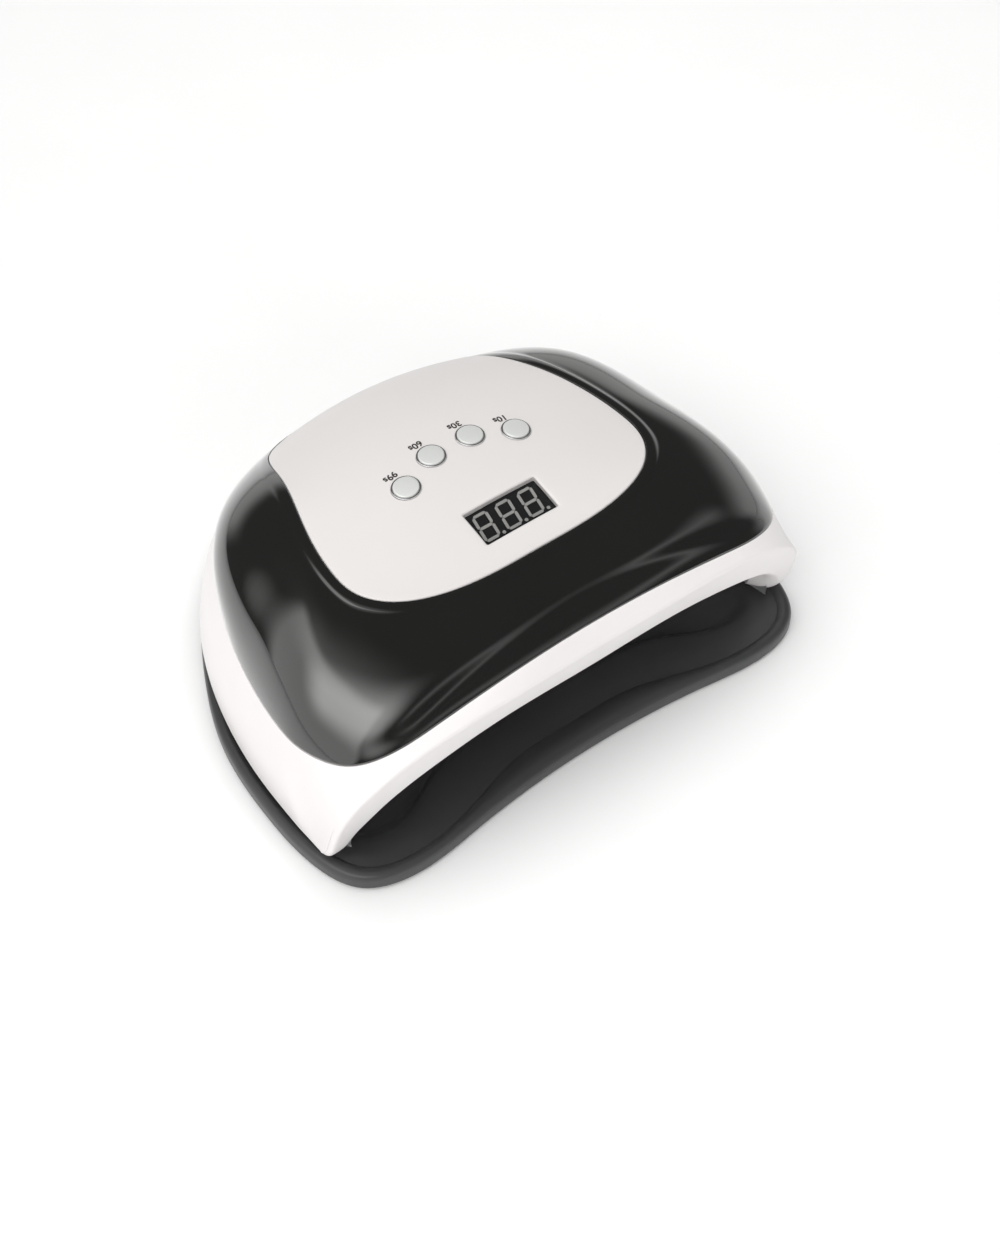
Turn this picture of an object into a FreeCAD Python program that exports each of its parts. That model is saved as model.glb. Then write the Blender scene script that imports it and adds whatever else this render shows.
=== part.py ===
"""UV curing lamp: a domed lamp housing that stands loose on a shallow tray.

Millimetres, +Z up, the mouth faces -Y. The origin is on the table under the middle of the object.
Outlines are half outlines, listed from the front centre line round to the rear centre line, as
(x, distance behind the tray's front edge, height above the tray's underside); the other half is
their mirror image.
"""
import FreeCAD
import Part
import Sketcher
import math
import os
from FreeCAD import Placement, Rotation, Vector

DIMENSIONS = {
    "tray_depth": 210.0, "foot_proud": 1.0, "foot_radius": 6.0, "foot_inset": 1.2,
    "shell_wall": 2.8, "cover_wall": 2.2, "cover_seat": 2.7, "seam_gap": 0.3, "panel_wall": 2.4,
    "liner_wall": 2.0, "plate_wall": 2.0, "mouth_half_width": 111.0, "mouth_rise": 45.6,
    "chamber_rear_half_width": 84.0, "chamber_rear_rise": 36.0, "skirt_clearance": 9.0,
    "vent_width": 2.8, "vent_height": 15.0, "rear_cut_depth": 30.0,
    "display_width": 34.6, "display_depth": 16.0, "window_thickness": 1.2, "window_gap": 0.2,
    "module_width": 37.6, "module_depth": 19.0, "module_height": 8.6, "digit_height": 13.0,
    "segment_width": 1.25, "segment_thickness": 0.2, "digit_pitch": 10.9,
    "cap_radius": 5.35, "cap_thickness": 4.4, "cap_proud": 1.2, "cap_flange_radius": 6.6,
    "cap_flange_thickness": 1.0, "cap_edge": 0.6, "stem_radius": 2.2,
    "bezel_radius": 6.1, "bezel_bore": 5.5, "bezel_height": 3.1, "bezel_proud": 0.5,
    "bezel_fit": 0.05, "button_travel": 0.5,
    "board_width": 104.0, "board_depth": 80.0, "board_thickness": 1.6, "board_hole_radius": 1.7,
    "switch_side": 6.0, "switch_height": 3.5, "plunger_radius": 1.75, "plunger_height": 1.3,
    "plunger_sunk": 0.3, "plunger_hole_radius": 1.85, "plunger_hole_depth": 1.0,
    "post_radius": 3.2, "screw_radius": 1.5, "screw_head_radius": 2.8, "screw_head_height": 1.8,
    "screw_length": 8.0, "plate_screw_head_height": 0.9, "thread_gap": 0.05, "boss_side": 7.0,
    "boss_height": 15.0,
    "led_radius": 3.4, "led_hole_radius": 3.6, "led_length": 4.2, "led_strip_width": 11.0,
    "led_strip_thickness": 1.2, "sensor_radius": 2.5, "sensor_hole_radius": 2.7,
    "jack_width": 14.0, "jack_height": 11.0, "jack_length": 15.0, "jack_bore_radius": 3.2,
    "jack_bore_depth": 9.5, "jack_pin_radius": 1.05, "jack_pin_length": 9.0,
    "magnet_width": 3.2, "magnet_length": 16.0, "magnet_height": 3.0, "lead_radius": 0.8,
}

PANEL = [(0, 42), (26, 42.5), (49, 46.5), (61, 52.5), (67, 58.5), (70.5, 65), (72, 72), (72, 80),
         (69, 100), (59.5, 133), (49.5, 162), (0, 180)]
COVER_MIDDLE = [(0, 24, 89), (32, 24, 88.7), (62, 26.5, 87), (81, 30, 83.5), (91, 36, 82),
                (97, 43, 81.5), (100, 51, 82), (101.5, 62, 82.5), (98.5, 90, 82.5),
                (88, 134, 81), (56, 167.5, 69.5), (0, 184, 61)]
COVER_EDGE = [(0, 9.5, 79.3), (38, 9.5, 77.3), (72, 11, 70.5), (94, 14, 65), (106, 20.5, 61.5),
              (113, 32, 59.3), (116, 43, 58.6), (116.2, 55, 58), (111.6, 88, 58),
              (97.5, 129, 59), (62, 171, 59), (0, 187.5, 54)]
CREASE = [(0, 4.5, 70), (42, 4.5, 69.5), (82, 7, 63.5), (105, 9.5, 53), (116, 12.5, 40),
          (119.5, 16, 25), (120, 22.5, 10.2), (120.3, 40, 9), (119.3, 78, 9), (109.5, 125.5, 9),
          (66.5, 189, 9), (0, 206, 9)]
MOUTH = [(0, 8, 54.8), (42, 8, 54.9), (76, 9, 49), (95, 11, 40.5), (103, 13.5, 31.5),
         (108.5, 17, 21), (112, 22.5, 10)]
TRAY_EDGE = [(0, 7), (30, 6), (62, 2.6), (92, 0.2), (113, 7.5), (123, 30), (124.8, 59),
             (121, 98), (106.2, 137), (82, 174.5), (47.5, 200), (0, 210)]
TRAY_CREST = [(0, 12), (30, 11), (60, 6), (91, 3.4), (110, 9.8), (119.6, 31), (121.6, 59),
              (118, 97), (103.2, 135.5), (80, 172), (46, 196.8), (0, 206.7)]
TRAY_CREASE = [(0, 19), (30, 18), (58, 10), (88, 5.5), (108, 11.5), (117, 32), (119.3, 59),
               (116, 96), (101.2, 134), (78.5, 170), (45, 194.5), (0, 204.5)]
TRAY_LAND = [(0, 40), (30, 38), (62, 31), (88, 20), (104, 25), (108, 38), (108.5, 60),
             (105, 92), (92, 126), (70, 154), (38, 170), (0, 176)]
TRAY_FLOOR = [(0, 48), (28, 46), (58, 39), (84, 29), (97, 33), (101, 44), (101.5, 62),
              (98, 90), (86, 120), (65, 146), (35, 161), (0, 166)]
CROWN_LINE = [(30, 88.5), (42, 94), (61, 99.4), (80, 101.8), (100, 102.5), (125, 100.8),
              (148, 94.3), (163, 85.5), (176, 71.5), (186, 57)]

# The dome's top falls by these shares of the square of the distance from its centre line.
ARCHING, ARCHING_FRONT, ARCHING_FADE = 0.0018, 40.0, 22.0
REAR_ARCHING, REAR_ARCHING_START, REAR_ARCHING_SPAN = 0.0022, 110.0, 60.0

BUTTONS = {"99s": (-27.1, 93.3), "60s": (-9.6, 100.7), "30s": (9.6, 100.7), "10s": (27.1, 93.3)}
DISPLAY_PLACE = (0.0, 61.1)
BOARD_FRONT, BOARD_UNDERSIDE, STEM_CLEARANCE = 50.0, 84.0, 0.35
BOARD_POSTS = [(-45, 58), (45, 58), (-45, 122), (45, 122)]
PLATE_SCREWS = [(-81, 159.1), (81, 159.1), (-44.8, 185.2), (44.8, 185.2)]
MAGNETS = [(-111, 66), (111, 66), (-61, 169), (61, 169)]
FEET = [(-98, 22), (98, 22), (-106, 100), (106, 100), (-52, 182), (52, 182)]
CHAMBER_FRONT, CHAMBER_REAR, CHAMBER_FLOOR = 9.0, 150.0, 10.0
CHAMBER_LENGTH = CHAMBER_REAR - CHAMBER_FRONT
BOSS_UNDERSIDE = 12.5
ARCH_EXPONENT, ARCH_OVERRUN = 2.7, 0.1
LED_ANGLES = [22, 44, 67, 90, 113, 136, 158]
LED_FRACTIONS = [0.2, 0.36, 0.52, 0.68, 0.84]
LED_PROUD, STRIP_LENGTH, STRIP_STANDOFF, STRIP_CENTRE = 1.2, 112.0, 3.15, 0.52
SENSOR_FRACTION, SENSOR_HOLE_DEPTH = 0.1, 4.0
JACK_PLACE = (0.0, 194.0, 24.0)
VENTS = [-44, -38, -32, -26, -20, 20, 26, 32, 38, 44]
VENT_UNDERSIDE = 20.0
WINDOW_DEPTH, MODULE_DEPTH = 0.5, 3.4
STEPS_PER_STATION = 2

doc = FreeCAD.newDocument("uv_curing_lamp")
sheet = doc.addObject("Spreadsheet::Sheet", "dims")
for row, (alias, number) in enumerate(DIMENSIONS.items(), start=1):
    sheet.set(f"A{row}", alias)
    sheet.set(f"B{row}", str(number))
    sheet.setAlias(f"B{row}", alias)
doc.recompute()


def dim(alias):
    return float(sheet.get(alias))


def at(x, behind_front, height=0.0):
    """A point of the outlines in the model's own frame."""
    return Vector(x, behind_front - dim("tray_depth") / 2, height + dim("foot_proud"))


def feature(name, shape):
    result = doc.addObject("Part::Feature", name)
    result.Shape = shape
    return result


def bind(target, **sizes):
    """Bind properties to cells, or to sums and differences of cells."""
    for prop, text in sizes.items():
        target.setExpression(prop, text)
    return target


def turned(direction):
    return Rotation(Vector(0, 0, 1), direction)


def cylinder(name, radius, length, start, direction=Vector(0, 0, 1)):
    result = bind(doc.addObject("Part::Cylinder", name), Radius=radius, Height=length)
    result.Placement = Placement(start, turned(direction))
    return result


def block(name, length, width, height, corner, rotation=Rotation()):
    """A box whose Placement is at the middle of its underside."""
    result = bind(doc.addObject("Part::Box", name), Length=length, Width=width, Height=height)
    doc.recompute()
    half = Vector(-result.Length.Value / 2, -result.Width.Value / 2, 0)
    result.Placement = Placement(corner + rotation.multVec(half), rotation)
    return result


def cut(name, base, tool):
    result = doc.addObject("Part::Cut", name)
    result.Base = base
    result.Tool = tool
    return result


def fuse(name, pieces):
    result = doc.addObject("Part::MultiFuse", name)
    result.Shapes = pieces
    return result


def group(name, pieces):
    result = doc.addObject("Part::Compound", name)
    result.Links = pieces
    return result


# ---- free-form rings -------------------------------------------------------------------------
def spline(points):
    """Half ring through the points, square to the centre plane at both ends."""
    curve = Part.BSplineCurve()
    count = len(points)
    curve.interpolate(Points=points, Parameters=[i / (count - 1) for i in range(count)],
                      InitialTangent=Vector(1, 0, 0), FinalTangent=Vector(-1, 0, 0))
    return curve


def stations(outline, floor=None):
    """Points along a smooth closed outline, STEPS_PER_STATION to each listed station."""
    half = [at(*point) for point in outline]
    other = [Vector(-p.x, p.y, p.z) for p in reversed(half[1:-1])]
    closed = Part.BSplineCurve()
    closed.interpolate(Points=half + other, PeriodicFlag=True)
    knots = [closed.parameter(point) for point in half]
    found = []
    for low, high in zip(knots, knots[1:]):
        for step in range(STEPS_PER_STATION):
            found.append(closed.value(low + (high - low) * step / STEPS_PER_STATION))
    found.append(half[-1])
    found[0] = half[0]
    if floor is not None:
        lowest = floor + dim("foot_proud")
        found = [Vector(p.x, p.y, max(p.z, lowest)) for p in found]
    return found


def skin(control_rows):
    """Surface over curves with common knots; straight between two, a parabola over three."""
    curves = [spline(row) for row in control_rows]
    poles = [list(column) for column in zip(*(curve.getPoles() for curve in curves))]
    degree = len(curves) - 1
    surface = Part.BSplineSurface()
    surface.buildFromPolesMultsKnots(poles, curves[0].getMultiplicities(), [degree + 1] * 2,
                                     curves[0].getKnots(), [0.0, 1.0], False, False,
                                     curves[0].Degree, degree)
    return surface


def through(first, middle, last):
    """Control rows of a parabola that passes through the middle row."""
    control = [m * 2 - (a + b) * 0.5 for a, m, b in zip(first, middle, last)]
    return [first, control, last]


def mirrored_solid(faces):
    shell = Part.makeShell(faces)
    shell.sewShape(1e-4)
    half = Part.Solid(shell)
    if half.Volume < 0:
        half.reverse()
    return half.fuse(half.mirror(Vector(0, 0, 0), Vector(1, 0, 0))).Solids[0]


def ring_solid(sides):
    """Solid ring whose cross-section is closed by the sides, each a list of control rows."""
    surfaces = [skin(side) for side in sides]
    faces = [surface.toShape() for surface in surfaces]
    for parameter in (0.0, 1.0):
        edges = [surface.uIso(parameter).toShape() for surface in surfaces]
        faces.append(Part.Face(Part.Wire(Part.__sortEdges__(edges))))
    return mirrored_solid(faces)


def plate_solid(rows):
    """Solid with a flat underside inside the first row and a flat floor inside the last."""
    faces = [skin(list(pair)).toShape() for pair in zip(rows, rows[1:])]
    for row in (rows[0], rows[-1]):
        edges = [spline(row).toShape(), Part.LineSegment(row[-1], row[0]).toShape()]
        faces.append(Part.Face(Part.Wire(edges)))
    corners = [row[0] for row in rows] + [row[-1] for row in reversed(rows)]
    faces.append(Part.Face(Part.makePolygon(corners + corners[:1])))
    return mirrored_solid(faces)


def inward(point, distance):
    """Moved towards the core line that runs front to back inside the dome."""
    front, rear = at(0, 60, 35), at(0, 140, 35)
    core = Vector(0, min(max(point.y, front.y), rear.y), front.z)
    return point + (core - point).normalize() * distance


def sideways(point, distance):
    """Moved level towards the middle of the plan."""
    core = Vector(0, min(max(point.y, at(0, 60).y), at(0, 140).y), point.z)
    return point + (core - point).normalize() * distance


def level(outline, height):
    return [(x, y, height) for x, y in outline]


crown_curve = Part.BSplineCurve()
crown_curve.interpolate(Points=[Vector(0, y, z) for y, z in CROWN_LINE])


def crown(behind_front):
    """Height of the dome's centre line."""
    plane = Part.Plane(Vector(0, behind_front, 0), Vector(0, 1, 0))
    points, _overlaps = crown_curve.intersect(plane)
    return points[0].Z


def panel_height(x, behind_front):
    """Height of the dome's top: flatter across its front edge, more arched towards the rear."""
    front_share = 1 - math.exp(-max(behind_front - ARCHING_FRONT, 0) / ARCHING_FADE)
    rear_share = min(max((behind_front - REAR_ARCHING_START) / REAR_ARCHING_SPAN, 0), 1) ** 2
    return crown(behind_front) - (ARCHING * front_share + REAR_ARCHING * rear_share) * x * x


def panel_normal(x, behind_front):
    step = 0.5
    slope_x = panel_height(x + step, behind_front) - panel_height(x - step, behind_front)
    slope_y = panel_height(x, behind_front + step) - panel_height(x, behind_front - step)
    return Vector(-slope_x, -slope_y, 2 * step).normalize()


# ---- tray ------------------------------------------------------------------------------------
tray_rows = [stations(level(TRAY_EDGE, 0)), stations(level(TRAY_EDGE, 6.5)),
             stations(level(TRAY_CREST, 8.2)), stations(level(TRAY_CREASE, 6.6)),
             stations(level(TRAY_LAND, 5.4)), stations(level(TRAY_FLOOR, 3.0))]
tray_plate = feature("tray_plate", plate_solid(tray_rows))
foot_pockets = group("foot_pockets", [
    cylinder(f"foot_pocket_{i}", "dims.foot_radius + 0.1", "dims.foot_inset", at(x, y))
    for i, (x, y) in enumerate(FEET)])
magnet_pockets = group("magnet_pockets", [
    block(f"magnet_pocket_{i}", "dims.magnet_width + 0.2", "dims.magnet_length + 0.2",
          "dims.magnet_height", at(x, y)) for i, (x, y) in enumerate(MAGNETS)])
base_tray = cut("base_tray", tray_plate, group("tray_pockets", [foot_pockets, magnet_pockets]))
rubber_feet = group("rubber_feet", [
    cylinder(f"foot_{i}", "dims.foot_radius", "dims.foot_proud + dims.foot_inset",
             at(x, y, -dim("foot_proud"))) for i, (x, y) in enumerate(FEET)])
tray_magnets = group("tray_magnets", [
    block(f"tray_magnet_{i}", "dims.magnet_width", "dims.magnet_length", "dims.magnet_height",
          at(x, y)) for i, (x, y) in enumerate(MAGNETS)])

# ---- outer shells ----------------------------------------------------------------------------
panel_edge = stations([(x, y, panel_height(x, y)) for x, y in PANEL])
cover_middle = stations(COVER_MIDDLE)
cover_edge = stations(COVER_EDGE)
crease = stations(CREASE, floor=dim("skirt_clearance"))


def moved_inward(row, distance):
    return [inward(point, distance) for point in row]


cover_wall = dim("cover_wall")
outer = through(cover_edge, cover_middle, panel_edge)
panel_seat = [point - Vector(0, 0, cover_wall) for point in panel_edge]
inner = through(panel_seat, moved_inward(cover_middle, cover_wall),
                moved_inward(cover_edge, cover_wall))
side_cover = feature("side_cover", ring_solid([outer, [outer[-1], inner[0]], inner,
                                               [inner[-1], outer[0]]]))

wall = dim("shell_wall")
mouth_front = stations(MOUTH + CREASE[7:], floor=dim("skirt_clearance"))
legs_end = STEPS_PER_STATION * (len(MOUTH) - 1)


def skirt_share(index):
    """0 along the mouth and its legs, 1 round the skirt."""
    return min(max((index - legs_end) / STEPS_PER_STATION, 0), 1)


def behind(point, index):
    """Inner side of the wall: straight back at the mouth, towards the middle round the skirt."""
    to_core = sideways(point, 1) - point
    share = skirt_share(index)
    return point + (Vector(0, 1, 0) * (1 - share) + to_core * share).normalize() * wall


shell_top = [point - Vector(0, 0, dim("seam_gap")) for point in cover_edge]


def raised(row, part_way):
    """Moved up the wall's own slope, round the skirt only."""
    return [point + (top - low) * part_way * skirt_share(index)
            for index, (point, low, top) in enumerate(zip(row, crease, shell_top))]


mouth_edge = [point if index <= legs_end else behind(point, index)
              for index, point in enumerate(mouth_front)]
mouth_inner = raised([behind(point, index) if index <= legs_end else mouth_edge[index]
                      for index, point in enumerate(mouth_front)], 0.05)
crease_inner = raised([behind(point, index) for index, point in enumerate(crease)], 0.15)
under_cover = [a * 0.72 + m * 0.28 for a, m in zip(cover_edge, cover_middle)]
seat = dim("cover_seat")
shell_rows = [shell_top, crease, mouth_edge, mouth_inner, crease_inner,
              moved_inward(shell_top, seat + wall * 0.8),
              moved_inward(under_cover, seat + wall * 0.8), moved_inward(under_cover, seat),
              moved_inward(shell_top, seat)]
shell_sides = [list(pair) for pair in zip(shell_rows, shell_rows[1:] + shell_rows[:1])]
shell_ring = feature("shell_ring", ring_solid(shell_sides))

screw_bosses = [block(f"shell_boss_{i}", "dims.boss_side", "dims.boss_side", "dims.boss_height",
                      at(x, y, BOSS_UNDERSIDE)) for i, (x, y) in enumerate(PLATE_SCREWS)]
shell_with_bosses = fuse("shell_with_bosses", [shell_ring] + screw_bosses)
jack_x, jack_y, jack_z = JACK_PLACE
jack_opening = block("jack_opening", "dims.jack_width + 2", "dims.rear_cut_depth",
                     "dims.jack_height + 2",
                     at(jack_x, jack_y + 2, jack_z - dim("jack_height") / 2 - 1))
boss_holes = [cylinder(f"boss_hole_{i}", "dims.screw_radius + dims.thread_gap",
                       "dims.boss_height", at(x, y, CHAMBER_FLOOR))
              for i, (x, y) in enumerate(PLATE_SCREWS)]
vent_slots = [block(f"vent_slot_{i}", "dims.vent_width", "dims.rear_cut_depth",
                    "dims.vent_height", at(x, jack_y, VENT_UNDERSIDE))
              for i, x in enumerate(VENTS)]
upper_shell = cut("upper_shell", shell_with_bosses,
                  group("shell_openings", [jack_opening] + boss_holes + vent_slots))

# ---- top panel -------------------------------------------------------------------------------
grid = [[at(x, y, panel_height(x, y) - dim("panel_wall")) for y in range(34, 185, 6)]
        for x in range(-84, 85, 7)]
slab_underside = Part.BSplineSurface()
slab_underside.interpolate(grid)
slab = slab_underside.toShape().extrude(Vector(0, 0, dim("panel_wall")))
outline = [sideways(Vector(p.x, p.y, 0), dim("seam_gap")) for p in panel_edge]
outline += [Vector(-p.x, p.y, 0) for p in reversed(outline[1:-1])]
outline_curve = Part.BSplineCurve()
outline_curve.interpolate(Points=outline, PeriodicFlag=True)
prism = Part.Face(Part.Wire(outline_curve.toShape())).extrude(Vector(0, 0, 150))
panel_slab = feature("panel_slab", prism.common(slab).Solids[0])

display_x, display_y = DISPLAY_PLACE
display_normal = panel_normal(display_x, display_y)
display_turn = Rotation(Vector(0, 0, 1), display_normal)
display_face = at(display_x, display_y, panel_height(display_x, display_y))


def below_display(depth):
    return display_face - display_normal * depth


window_hole = block("window_hole", "dims.display_width", "dims.display_depth",
                    "dims.panel_wall * 4", below_display(2 * dim("panel_wall")), display_turn)
button_places = {name: at(x, y, panel_height(x, y)) for name, (x, y) in BUTTONS.items()}
button_normals = {name: panel_normal(x, y) for name, (x, y) in BUTTONS.items()}
button_holes = [cylinder(f"button_hole_{name}", "dims.bezel_radius + dims.bezel_fit",
                         "dims.panel_wall * 4",
                         place - button_normals[name] * 2 * dim("panel_wall"),
                         button_normals[name]) for name, place in button_places.items()]
panel_posts = []
board_top = BOARD_UNDERSIDE + dim("board_thickness")
for number, (x, y) in enumerate(BOARD_POSTS):
    post = doc.addObject("Part::Cylinder", f"panel_post_{number}")
    bind(post, Radius="dims.post_radius")
    post.Height = panel_height(x, y) - board_top - dim("panel_wall") / 2
    post.Placement = Placement(at(x, y, board_top), Rotation())
    panel_posts.append(post)
post_holes = [cylinder(f"post_hole_{i}", "dims.screw_radius + dims.thread_gap",
                       "dims.screw_length + 1", at(x, y, BOARD_UNDERSIDE))
              for i, (x, y) in enumerate(BOARD_POSTS)]
top_panel = cut("top_panel", fuse("panel_with_posts", [panel_slab] + panel_posts),
                group("panel_openings", [window_hole] + button_holes + post_holes))

# ---- display ---------------------------------------------------------------------------------
display_window = block("display_window", "dims.display_width - 2 * dims.window_gap",
                       "dims.display_depth - 2 * dims.window_gap", "dims.window_thickness",
                       below_display(WINDOW_DEPTH + dim("window_thickness")), display_turn)
display_module = block("display_module", "dims.module_width", "dims.module_depth",
                       "dims.module_height", below_display(MODULE_DEPTH + dim("module_height")),
                       display_turn)

digits = doc.addObject("PartDesign::Body", "display_digits")
digits_sketch = digits.newObject("Sketcher::SketchObject", "digit_outlines")
digits_plane = [f for f in digits.Origin.OriginFeatures if f.Role == "XY_Plane"][0]
digits_sketch.AttachmentSupport = [(digits_plane, "")]
digits_sketch.MapMode = "FlatFace"


SLANT = math.tan(math.radians(8))


def draw_loop(sketch, corners):
    for start, end in zip(corners, corners[1:] + corners[:1]):
        sketch.addGeometry(Part.LineSegment(start, end), False)


def segment_outline(centre, length, vertical):
    """A six-sided bar with pointed ends, leaning with the digit."""
    half, point = length / 2, dim("segment_width") / 2
    bar = [(-half, 0), (-half + point, point), (half - point, point), (half, 0),
           (half - point, -point), (-half + point, -point)]
    if vertical:
        bar = [(-y, x) for x, y in bar]
    return [Vector(centre[0] + x + SLANT * (centre[1] + y), centre[1] + y, 0) for x, y in bar]


digit_half_width, digit_half_height = 3.1, (dim("digit_height") - dim("segment_width")) / 2
digit_shift, point_shift, point_radius, segment_gap = -0.6, 4.5, 0.75, 0.25
SEGMENTS = [(0, 1, False), (0, 0, False), (0, -1, False),
            (-1, 0.5, True), (1, 0.5, True), (-1, -0.5, True), (1, -0.5, True)]
for digit in (-1, 0, 1):
    middle = digit * dim("digit_pitch") + digit_shift
    for across, up, vertical in SEGMENTS:
        centre = (middle + across * digit_half_width, up * digit_half_height)
        length = (digit_half_height if vertical else 2 * digit_half_width) - segment_gap
        draw_loop(digits_sketch, segment_outline(centre, length, vertical))
    point_centre = Vector(middle + point_shift, -digit_half_height, 0)
    digits_sketch.addGeometry(Part.Circle(point_centre, Vector(0, 0, 1), point_radius), False)
digits_pad = digits.newObject("PartDesign::Pad", "digit_pad")
digits_pad.Profile = digits_sketch
digits_pad.setExpression("Length", "dims.segment_thickness")
digits.Placement = Placement(below_display(MODULE_DEPTH), display_turn)

# ---- control board ---------------------------------------------------------------------------
board_centre = BOARD_FRONT + dim("board_depth") / 2
board_blank = block("board_blank", "dims.board_width", "dims.board_depth",
                    "dims.board_thickness", at(0, board_centre, BOARD_UNDERSIDE))
board_holes = group("board_holes", [
    cylinder(f"board_hole_{i}", "dims.board_hole_radius", "dims.board_thickness * 3",
             at(x, y, BOARD_UNDERSIDE - 2)) for i, (x, y) in enumerate(BOARD_POSTS)])
control_board = cut("control_board", board_blank, board_holes)
board_screws = group("board_screws", [
    fuse(f"board_screw_{i}", [
        cylinder(f"board_screw_shank_{i}", "dims.screw_radius", "dims.screw_length",
                 at(x, y, BOARD_UNDERSIDE)),
        cylinder(f"board_screw_head_{i}", "dims.screw_head_radius", "dims.screw_head_height",
                 at(x, y, BOARD_UNDERSIDE - dim("screw_head_height")))])
    for i, (x, y) in enumerate(BOARD_POSTS)])
PARTS_ON_BOARD = [("capacitor", 5.0, 9.0, -38, 112), ("capacitor_small", 3.2, 7.0, -26, 116),
                  ("inductor", 6.0, 6.0, 38, 112)]
CHIPS_ON_BOARD = [("driver_chip", 6, 5, 1.6, 20, 118), ("controller_chip", 10, 7, 2.0, 0, 80),
                  ("power_switch_a", 6.5, 6, 2.3, -10, 118),
                  ("power_switch_b", 6.5, 6, 2.3, 5, 118)]
component_solids = []
for name, radius, height, x, y in PARTS_ON_BOARD:
    solid = doc.addObject("Part::Cylinder", name)
    solid.Radius, solid.Height = radius, height
    solid.Placement = Placement(at(x, y, BOARD_UNDERSIDE - height), Rotation())
    component_solids.append(solid)
for name, length, width, height, x, y in CHIPS_ON_BOARD:
    solid = doc.addObject("Part::Box", name)
    solid.Length, solid.Width, solid.Height = length, width, height
    solid.Placement = Placement(at(x - length / 2, y - width / 2, BOARD_UNDERSIDE - height),
                                Rotation())
    component_solids.append(solid)
board_components = group("board_components", component_solids)
switch_top = board_top + dim("switch_height")
tactile_switches = group("tactile_switches", [
    cut(f"switch_{name}",
        block(f"switch_body_{name}", "dims.switch_side", "dims.switch_side",
              "dims.switch_height", at(x, y, board_top)),
        cylinder(f"plunger_hole_{name}", "dims.plunger_hole_radius",
                 "dims.plunger_hole_depth * 2", at(x, y, switch_top - dim("plunger_hole_depth"))))
    for name, (x, y) in BUTTONS.items()])
plungers = [cylinder(f"switch_plunger_{name}", "dims.plunger_radius", "dims.plunger_height",
                     at(x, y, switch_top - dim("plunger_sunk")))
            for name, (x, y) in BUTTONS.items()]

# ---- buttons ---------------------------------------------------------------------------------


def circle_sketch(body, name, radius, height):
    sketch = body.newObject("Sketcher::SketchObject", name)
    plane = [f for f in body.Origin.OriginFeatures if f.Role == "XY_Plane"][0]
    sketch.AttachmentSupport = [(plane, "")]
    sketch.MapMode = "FlatFace"
    sketch.AttachmentOffset = Placement(Vector(0, 0, height), Rotation())
    sketch.addGeometry(Part.Circle(Vector(0, 0, 0), Vector(0, 0, 1), 1.0), False)
    sketch.addConstraint(Sketcher.Constraint("Coincident", 0, 3, -1, 1))
    sketch.addConstraint(Sketcher.Constraint("Radius", 0, 1.0))
    sketch.setExpression("Constraints[1]", radius)
    return sketch


def pad(body, name, sketch, length):
    result = body.newObject("PartDesign::Pad", name)
    result.Profile = sketch
    result.setExpression("Length", length)
    return result


def button_cap(name, place, normal):
    """Cap, retaining flange and stem; the body's own zero is the cap's underside."""
    body = doc.addObject("PartDesign::Body", f"button_cap_{name}")
    underside = dim("cap_proud") - dim("cap_thickness")
    plunger_top = at(0, 0, switch_top - dim("plunger_sunk") + dim("plunger_height")).z
    room = (place.z + underside - plunger_top) / normal.z
    stem = room - dim("cap_flange_thickness") - STEM_CLEARANCE
    pad(body, f"cap_disc_{name}", circle_sketch(body, f"cap_outline_{name}", "dims.cap_radius", 0),
        "dims.cap_thickness")
    pad(body, f"cap_flange_{name}",
        circle_sketch(body, f"flange_outline_{name}", "dims.cap_flange_radius",
                      -dim("cap_flange_thickness")), "dims.cap_flange_thickness")
    stem_sketch = circle_sketch(body, f"stem_outline_{name}", "dims.stem_radius",
                                -dim("cap_flange_thickness") - stem)
    stem_pad = body.newObject("PartDesign::Pad", f"cap_stem_{name}")
    stem_pad.Profile = stem_sketch
    stem_pad.Length = stem
    doc.recompute()
    top_edge = max(range(len(stem_pad.Shape.Edges)),
                   key=lambda i: stem_pad.Shape.Edges[i].BoundBox.ZMin)
    rounding = body.newObject("PartDesign::Fillet", f"cap_rounding_{name}")
    rounding.Base = (stem_pad, [f"Edge{top_edge + 1}"])
    rounding.setExpression("Radius", "dims.cap_edge")
    body.Tip = rounding
    body.Placement = Placement(place + normal * underside, turned(normal))
    return body


caps = [button_cap(name, button_places[name], button_normals[name]) for name in BUTTONS]


def bezel(name, place, normal):
    bottom = place - normal * (dim("bezel_height") - dim("bezel_proud"))
    ring = cylinder(f"bezel_outside_{name}", "dims.bezel_radius", "dims.bezel_height", bottom,
                    normal)
    bore = cylinder(f"bezel_bore_{name}", "dims.bezel_bore", "dims.bezel_height * 2",
                    place - normal * dim("bezel_height"), normal)
    return cut(f"bezel_{name}", ring, bore)


button_bezels = group("button_bezels", [
    bezel(name, button_places[name], button_normals[name]) for name in BUTTONS])

# ---- curing chamber --------------------------------------------------------------------------


def arch_point(fraction, angle, growth=0.0):
    """A point of the chamber's ceiling: a superellipse that tapers from front to rear."""
    front_width, rear_width = dim("mouth_half_width"), dim("chamber_rear_half_width")
    half_width = front_width * (1 - fraction) + rear_width * fraction
    rise = dim("mouth_rise") * (1 - fraction) + dim("chamber_rear_rise") * fraction
    cosine, sine = math.cos(math.radians(angle)), math.sin(math.radians(angle))
    power = 2 / ARCH_EXPONENT
    x = math.copysign(abs(cosine) ** power, cosine) * (half_width + growth)
    z = abs(sine) ** power * (rise + growth)
    return at(x, CHAMBER_FRONT + CHAMBER_LENGTH * fraction, CHAMBER_FLOOR + z)


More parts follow.
